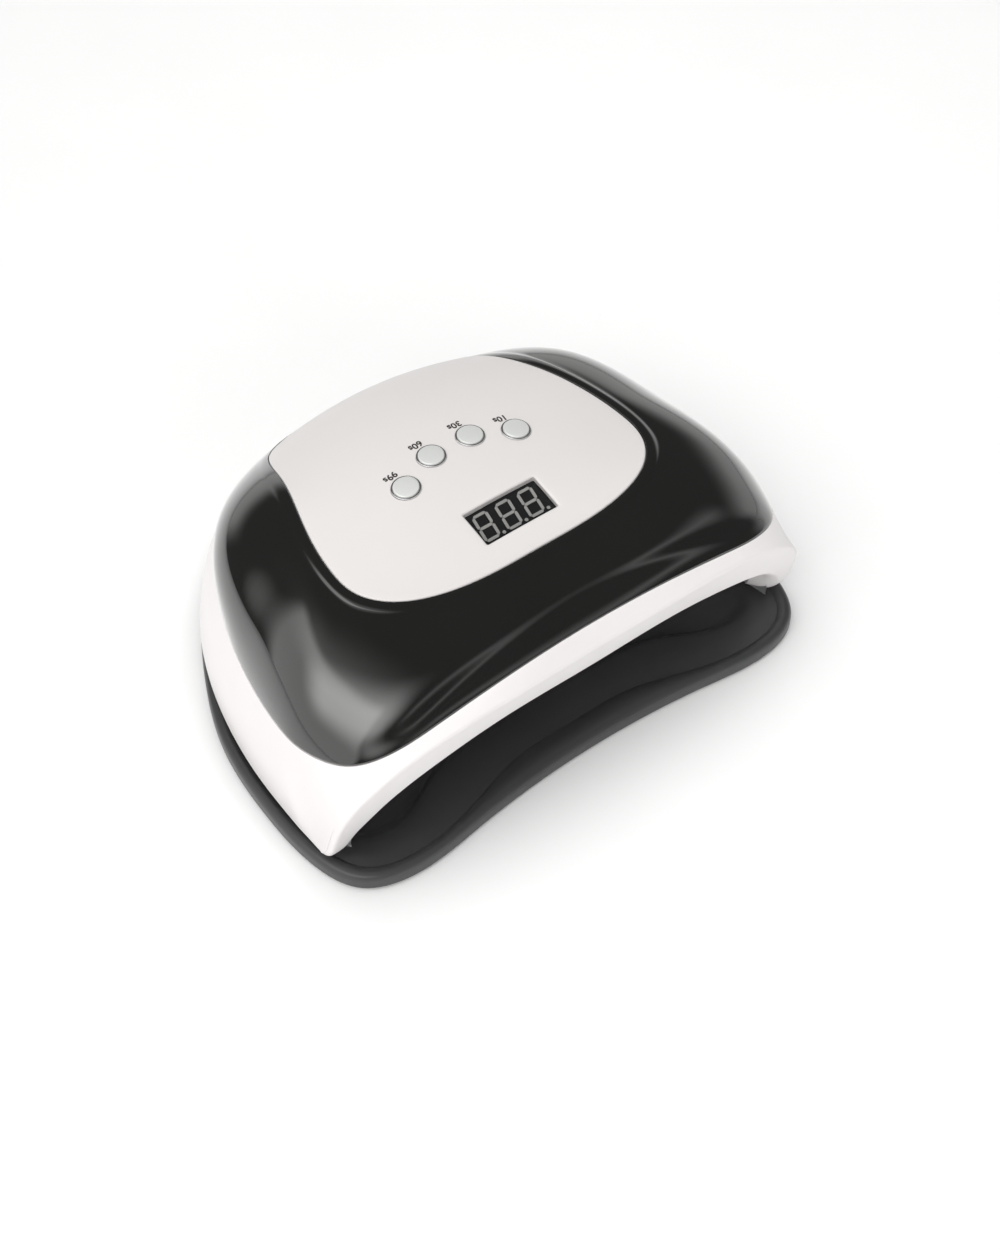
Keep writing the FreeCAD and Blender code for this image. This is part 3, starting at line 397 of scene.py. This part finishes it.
def make_cover():
    length = (np.linalg.norm(cover_middle - panel_edge, axis=1)
              + np.linalg.norm(cover_edge - cover_middle, axis=1))
    rear_share = np.clip((panel_edge[:, 1] - 30) / 25, 0, 1)
    bead_share = 1 - 0.9 * rear_share
    rim = panel_edge + np.outer(-0.4 * rear_share, (0, 0, 1))
    down = panel_edge - (0, 0, COVER_WALL)
    outer = [(inward(parabola(rim, cover_middle, cover_edge, away / length), -lift * bead_share),
              None) for away, lift in BEAD]
    # A shallow valley runs along the front, a finger's width above the lower edge.
    valley_share = (np.clip((-48 - cover_middle[:, 1]) / 25, 0, 1)
                    * np.clip((106 - np.abs(cover_edge[:, 0])) / 26, 0, 1))
    valley_place = VALLEY_HEIGHT - VALLEY_FALL * np.minimum(np.abs(cover_edge[:, 0]) / 85, 1) ** 2
    start = BODY_START / length
    for t in np.linspace(0, 1, BODY_ROWS):
        share = start + (BODY_END - start) * t
        from_edge = (1 - share) * length
        offset = (from_edge - valley_place) / VALLEY_WIDTH
        dip = VALLEY_DEPTH * valley_share * np.exp(-offset ** 2)
        outer.append((inward(parabola(rim, cover_middle, cover_edge, share), dip), None))
    edge_inside, middle_inside = inward(cover_edge, COVER_WALL), inward(cover_middle, COVER_WALL)
    inner = [(parabola(edge_inside, middle_inside, down, share), None)
             for share in np.linspace(0.06, 0.94, 10)]
    knots = [(down, 0.3), (rim, 0.3)] + outer + [(cover_edge, 1.7), (edge_inside, 0.3)]
    closed_sweep("cover_moulding", knots + inner, BLACK, "lamp", "black_gloss", "side_cover",
                 sharp=70)


# ---- white shell -----------------------------------------------------------------------------
# Outer and inner face of the lip behind the cover, in from the cover's outside.
SEAT_OUTER, SEAT_INNER = 2.7, 4.9
FOOT_RETURN, FOOT_THICKENING = 6.4, 4.2
SKIRT_BULGE = 2.4


def make_shell():
    """Skirt, two front legs and the mouth between them. `share` goes from 0 round the mouth to 1
    on the skirt, and `foot` from 0 at the mouth's top to 1 at the feet."""
    crease = ring(CREASE, SKIRT_CLEARANCE)
    mouth = ring(MOUTH + CREASE[7:], SKIRT_CLEARANCE)
    columns = len(crease)
    legs = PER_STATION * (len(MOUTH) - 1)
    index = np.arange(columns)
    along = np.minimum(index, columns - index)
    share = np.clip((along - legs) / PER_STATION, 0, 1)[:, None]
    to_core = sideways(crease, 1.0) - crease

    def behind(points):
        way = np.array([0, 1.0, 0]) * (1 - share) + to_core * share
        return points + way / np.linalg.norm(way, axis=1)[:, None] * SHELL_WALL

    top = cover_edge - (0, 0, 0.3)
    under_lip = inward(top, 2.6)
    climb = (top - crease) * share
    mouth_edge = np.where(share > 0, behind(mouth), mouth)
    foot = np.clip((along - legs * 0.45) / (legs * 0.35), 0, 1) * (1 - share[:, 0])
    thickness = SHELL_WALL + FOOT_THICKENING * foot
    turned_in = sideways(mouth + np.outer(thickness, (0, 1, 0)), FOOT_RETURN * foot)
    mouth_inner = np.where(share > 0, mouth_edge, turned_in) + climb * 0.05
    crease_inner = behind(crease) + climb * 0.15
    under_cover = cover_edge * 0.72 + cover_middle * 0.28
    size = 1.6 + 1.4 * np.clip((along - legs * 0.55) / (legs * 0.3), 0, 1) * (1 - share[:, 0])
    outwards = sideways(crease, -1.0) - crease
    half_way = top * 0.5 + crease * 0.5 + outwards * share ** 2 * SKIRT_BULGE
    knots = [(under_lip, 0.2), (top, 0.2), (half_way, 12.0), (crease, size),
             (mouth_edge, 1.0 + 2.8 * foot), (mouth_inner, 0.8), (crease_inner, 0.4),
             (inward(top, SEAT_INNER), None), (inward(under_cover, SEAT_INNER), 0.2),
             (inward(under_cover, SEAT_OUTER), 0.2)]
    shell = closed_sweep("shell_moulding", knots, WHITE, "lamp", "white_plastic", "upper_shell",
                         sharp=60)
    cut_openings(shell)


JACK_OPENING = (0.0, 24.0, 16.0, 13.0)
VENTS = [(side * x, 27.5, 2.8, 15.0) for side in (-1, 1) for x in (20, 26, 32, 38, 44)]
REAR_CUT = (178.0, 214.0)
BOX_FACES = ((0, 1, 2, 3), (7, 6, 5, 4), (4, 5, 1, 0), (5, 6, 2, 1), (6, 7, 3, 2), (7, 4, 0, 3))


def cut_openings(shell):
    """Inlet opening and cooling slots through the rear wall: (x, height, width, tall) in mm."""
    vertices, faces = [], []
    for x, z, wide, tall in [JACK_OPENING] + VENTS:
        first = len(vertices)
        for y in REAR_CUT:
            for sx, sz in ((-1, -1), (1, -1), (1, 1), (-1, 1)):
                vertices.append(((x + sx * wide / 2) * MM, (y - TRAY_DEPTH / 2) * MM,
                                 (z + FOOT_PROUD + sz * tall / 2) * MM))
        faces += [tuple(first + i for i in face) for face in BOX_FACES]
    mesh = bpy.data.meshes.new("opening_cutter")
    mesh.from_pydata(vertices, [], faces)
    cutter = placed("opening_cutter", mesh)
    cut = shell.modifiers.new("openings", "BOOLEAN")
    cut.object, cut.solver = cutter, "MANIFOLD"
    pieces = bpy.context.evaluated_depsgraph_get()
    whole, shell.data = shell.data, bpy.data.meshes.new_from_object(shell.evaluated_get(pieces))
    shell.modifiers.clear()
    bpy.data.objects.remove(cutter)
    bpy.data.meshes.remove(mesh)
    bpy.data.meshes.remove(whole)
    shell.data.set_sharp_from_angle(angle=math.radians(60))


# ---- top panel -------------------------------------------------------------------------------
def circle_loop(centre, radius, count=48):
    turn = np.linspace(0, 2 * math.pi, count, endpoint=False)
    return (np.stack([centre[0] + radius * np.cos(turn), centre[1] + radius * np.sin(turn)], 1),
            np.stack([-np.cos(turn), -np.sin(turn)], 1))


def rounded_rectangle(centre, width, depth, corner, count=8):
    points, outward = [], []
    for quarter, (sx, sy) in enumerate(((1, 1), (-1, 1), (-1, -1), (1, -1))):
        for t in np.linspace(0, math.pi / 2, count):
            angle = quarter * math.pi / 2 + t
            way = np.array([math.cos(angle), math.sin(angle)])
            middle = np.array([centre[0] + sx * (width / 2 - corner),
                               centre[1] + sy * (depth / 2 - corner)])
            points.append(middle + way * corner)
            outward.append(-way)
    dense, dense_out = [], []
    for i, (point, way) in enumerate(zip(points, outward)):
        following = points[(i + 1) % len(points)]
        steps = max(1, int(np.linalg.norm(following - point) / 1.5))
        for s in range(steps):
            dense.append(point + (following - point) * s / steps)
            dense_out.append(way)
    return np.array(dense), np.array(dense_out)


PANEL_GAP, PANEL_ROLL, WINDOW_ROLL, BUTTON_HOLE, BUTTON_ROLL = 0.35, 0.8, 1.1, 6.15, 0.25
GRID_STEP = 2.6


def make_panel():
    """Top surface triangulated between its outline and its five openings, with rolled edges."""
    outline = sideways(panel_edge, PANEL_GAP)[:, :2] + (0, TRAY_DEPTH / 2)
    tangent = np.roll(outline, -1, 0) - np.roll(outline, 1, 0)
    outward = np.stack([tangent[:, 1], -tangent[:, 0]], 1)
    outward /= np.linalg.norm(outward, axis=1)[:, None]
    loops = [(outline, outward, PANEL_ROLL)]
    loops.append((*rounded_rectangle(DISPLAY_PLACE, *DISPLAY_SIZE, 0.6), WINDOW_ROLL))
    for place in BUTTONS.values():
        loops.append((*circle_loop(place, BUTTON_HOLE), BUTTON_ROLL))
    tops = [points - way * radius for points, way, radius in loops]
    spots = [tuple(p) for loop in tops for p in loop]
    edges, starts, total = [], [], 0
    for loop in tops:
        starts.append(total)
        edges += [(total + i, total + (i + 1) % len(loop)) for i in range(len(loop))]
        total += len(loop)

    def inside(point, loop):
        x, y = point
        a, b = loop, np.roll(loop, -1, 0)
        crossing = (a[:, 1] > y) != (b[:, 1] > y)
        with np.errstate(divide="ignore", invalid="ignore"):
            at_x = (b[:, 0] - a[:, 0]) * (y - a[:, 1]) / (b[:, 1] - a[:, 1]) + a[:, 0]
        return bool(np.sum(crossing & (x < at_x)) % 2)

    def on_panel(point):
        return inside(point, tops[0]) and not any(inside(point, loop) for loop in tops[1:])

    border = np.array(spots)
    for x in np.arange(-78, 78.1, GRID_STEP):
        for y in np.arange(40, 180, GRID_STEP):
            if on_panel((x, y)) \
                    and np.min(np.hypot(border[:, 0] - x, border[:, 1] - y)) > GRID_STEP / 2:
                spots.append((x, y))
    flat, _e, triangles, *_rest = delaunay_2d_cdt([Vector(p) for p in spots], edges, [], 0, 1e-5)
    keep = []
    for triangle in triangles:
        middle = sum((np.array(flat[i]) for i in triangle), np.zeros(2)) / 3
        if on_panel(middle):
            keep.append(tuple(triangle))

    def lifted(x, y, drop):
        return (x, y - TRAY_DEPTH / 2, panel_height(x, y) + FOOT_PROUD - drop)

    vertices = [lifted(p[0], p[1], 0) for p in flat]
    count = len(vertices)
    faces = list(keep)
    vertices += [lifted(p[0], p[1], PANEL_WALL) for p in flat]
    faces += [tuple(i + count for i in reversed(t)) for t in keep]
    for (points, way, radius), start in zip(loops, starts):
        size = len(points)
        rows = [list(range(start, start + size))]
        for turn in np.linspace(0, math.pi / 2, 6)[1:]:
            place = points - way * radius * (1 - math.sin(turn))
            rows.append(list(range(len(vertices), len(vertices) + size)))
            vertices += [lifted(x, y, radius * (1 - math.cos(turn))) for x, y in place]
        rows.append(list(range(len(vertices), len(vertices) + size)))
        vertices += [lifted(x, y, PANEL_WALL) for x, y in points]
        rows.append(list(range(count + start, count + start + size)))
        for above, below in zip(rows, rows[1:]):
            faces += [(above[i], above[(i + 1) % size], below[(i + 1) % size], below[i])
                      for i in range(size)]
    finish_mesh("panel_moulding", vertices, faces, PANEL_GREY, "lamp", "panel_plastic",
                "top_panel", sharp=50)


# ---- buttons ---------------------------------------------------------------------------------
def lathe(name, profile, place, normal, look, body, slot, replaces, count=64):
    """Turned piece: (radius, height) points round the normal, closed where the radius is 0."""
    turn = Vector((0, 0, 1)).rotation_difference(normal).to_matrix()
    rows = []
    for radius, height in profile:
        row = []
        for angle in np.linspace(0, 2 * math.pi, count, endpoint=False):
            local = Vector((radius * math.cos(angle), radius * math.sin(angle), height))
            row.append(tuple(Vector(place) + turn @ local))
        rows.append(np.array(row))
    finish_mesh(name, np.vstack(rows), grid_faces(len(rows), count, False), look, body, slot,
                replaces, sharp=50)


def rounded_profile(corners, sizes, steps=5):
    """Turned outline with its corners rounded by the given sizes."""
    profile = []
    for i, (corner, size) in enumerate(zip(corners, sizes)):
        corner = np.array(corner, float)
        if size == 0 or i in (0, len(corners) - 1):
            profile.append(tuple(corner))
            continue
        before, after = np.array(corners[i - 1]) - corner, np.array(corners[i + 1]) - corner
        start = corner + before / np.linalg.norm(before) * size
        end = corner + after / np.linalg.norm(after) * size
        for t in np.linspace(0, 1, steps):
            profile.append(tuple((1 - t) ** 2 * start + 2 * t * (1 - t) * corner + t * t * end))
    return profile


def make_buttons():
    for name, (x, y) in BUTTONS.items():
        place = Vector((x, y - TRAY_DEPTH / 2, panel_height(x, y) + FOOT_PROUD))
        normal = panel_normal(x, y)
        cap = rounded_profile(
            [(0, 1.28), (2.8, 1.24), (5.35, 1.05), (5.35, -3.2), (6.6, -3.2), (6.6, -4.2),
             (2.2, -4.2), (2.2, -9.5), (0, -9.5)], [0, 0, 0.55, 0, 0.2, 0.2, 0.2, 0.3, 0])
        lathe(f"button_{name}_cap", cap, place, normal, SILVER_CAP, f"button_{name}",
              "cap_silver", f"button_cap_{name}")
        bezel = rounded_profile(
            [(5.5, -2.4), (5.5, 0.55), (6.1, 0.55), (6.1, -2.4), (5.5, -2.4)],
            [0, 0.22, 0.3, 0, 0])
        lathe(f"button_{name}_ring", bezel, place, normal, CHROME, "lamp", "bezel_metal",
              "button_bezels")


LEGEND_OFFSET = Vector((-1.5, 8.8))


def make_legends():
    """Small time legends behind each button, turned to be read from the rear."""
    for name, (x, y) in BUTTONS.items():
        curve = bpy.data.curves.new(f"legend_{name}", "FONT")
        curve.body = name
        curve.size = 4.4 * MM
        curve.align_x, curve.align_y = "CENTER", "CENTER"
        curve.extrude = 0.04 * MM
        curve.offset = 0.09 * MM
        text = placed(f"legend_{name}", curve)
        tx, ty = x + LEGEND_OFFSET.x, y + LEGEND_OFFSET.y
        normal = panel_normal(tx, ty)
        height = panel_height(tx, ty) + FOOT_PROUD + 0.06
        spin = Matrix.Rotation(math.pi - x * 0.004, 4, "Z")
        tilt = Vector((0, 0, 1)).rotation_difference(normal).to_matrix().to_4x4()
        text.matrix_world = Matrix.Translation(
            Vector((tx, ty - TRAY_DEPTH / 2, height)) * MM) @ tilt @ spin
        curve.materials.append(INK)
        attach(text, "lamp")


make_tray()
make_cover()
make_shell()
make_panel()
make_buttons()
make_legends()


# ---- stage -----------------------------------------------------------------------------------
def make_stage():
    floor_material = material("studio_floor", (0.93, 0.93, 0.93), 0.7, tone=0.005, bump=0.0)
    mesh = bpy.data.meshes.new("studio_floor")
    half = 4.0
    mesh.from_pydata([(-half, -half, 0), (half, -half, 0), (half, half, 0), (-half, half, 0)], [],
                     [(0, 1, 2, 3)])
    mesh.materials.append(floor_material)
    placed("studio_floor", mesh)


def diffuse_light(name, place, target, size, power):
    """Large lamp that shapes the shading only; the reflections come from the studio's walls."""
    lamp = bpy.data.lights.new(name, "AREA")
    lamp.shape = "RECTANGLE"
    lamp.size, lamp.size_y = size
    lamp.energy = power
    holder = placed(name, lamp)
    holder.location = place
    holder.rotation_euler = (Vector(target) - Vector(place)).to_track_quat("-Z", "Y").to_euler()
    holder.visible_glossy = False


def studio_direction(azimuth, elevation):
    """Azimuth 0 is the front of the lamp and 90 its right side."""
    a, e = math.radians(azimuth), math.radians(elevation)
    return Vector((math.sin(a) * math.cos(e), -math.cos(a) * math.cos(e), math.sin(e)))


# Bright panels of the studio: azimuth, elevation, half width, half height, soft edge (degrees),
# strength.
STUDIO_PANELS = [(-97, 27, 40, 33, 4, 0.85), (-66, 45, 30, 15, 12, 1.8),
                 (-90, 61, 34, 10, 12, 0.5), (135, 7, 62, 12, 9, 0.62), (30, 33, 36, 3, 8, 0.5)]
STUDIO_DARK = 0.07


def make_world():
    world = bpy.data.worlds.new("studio_world")
    bpy.context.scene.world = world
    world.use_nodes = True
    nodes, links = world.node_tree.nodes, world.node_tree.links
    background = nodes["Background"]
    direction = nodes.new("ShaderNodeTexCoord").outputs["Generated"]

    def math_node(operation, *values):
        node = nodes.new("ShaderNodeMath")
        node.operation = operation
        for socket, value in zip(node.inputs, values):
            if isinstance(value, (int, float)):
                socket.default_value = value
            else:
                links.new(value, socket)
        return node.outputs["Value"]

    def along(vector):
        node = nodes.new("ShaderNodeVectorMath")
        node.operation = "DOT_PRODUCT"
        links.new(direction, node.inputs[0])
        node.inputs[1].default_value = vector
        return node.outputs["Value"]

    def fade(angle, half, edge):
        node = nodes.new("ShaderNodeMapRange")
        node.interpolation_type = "SMOOTHSTEP"
        node.inputs["From Min"].default_value = math.radians(half + edge)
        node.inputs["From Max"].default_value = math.radians(half - edge)
        links.new(angle, node.inputs["Value"])
        return node.outputs["Result"]

    total = None
    for azimuth, elevation, half_width, half_height, edge, strength in STUDIO_PANELS:
        centre = studio_direction(azimuth, elevation)
        across = Vector((0, 0, 1)).cross(centre).normalized()
        above = centre.cross(across)
        ahead = along(centre)
        sideways_angle = math_node("ABSOLUTE", math_node("ARCTAN2", along(across), ahead))
        above_angle = math_node("ABSOLUTE", math_node("ARCSINE", along(above)))
        mask = math_node("MULTIPLY", fade(sideways_angle, half_width, edge),
                         fade(above_angle, half_height, edge))
        light = math_node("MULTIPLY", mask, strength)
        total = light if total is None else math_node("ADD", total, light)
    links.new(math_node("ADD", total, STUDIO_DARK), background.inputs["Strength"])
    background.inputs["Color"].default_value = (1.0, 0.995, 0.985, 1)


def make_camera():
    distance = 0.79627
    target = Vector((-0.01147, 0.05284 - TRAY_DEPTH / 2 * MM, 0.046))
    back = studio_direction(-37.04, 50.0)
    data = bpy.data.cameras.new("photo_camera")
    data.lens, data.sensor_width, data.sensor_fit = 56.40, 36.0, "AUTO"
    camera = placed("photo_camera", data)
    camera.location = target + back * distance
    camera.rotation_euler = (-back).to_track_quat("-Z", "Y").to_euler()
    bpy.context.scene.camera = camera


make_stage()
make_world()
diffuse_light("overhead", (0.1, 0.2, 1.4), (0, 0, 0.05), (1.6, 1.2), 14)
diffuse_light("front_fill", (-0.3, -1.4, 0.6), (0, 0, 0.05), (1.4, 0.8), 7.8)
make_camera()
bpy.context.scene.view_settings.view_transform = "Standard"
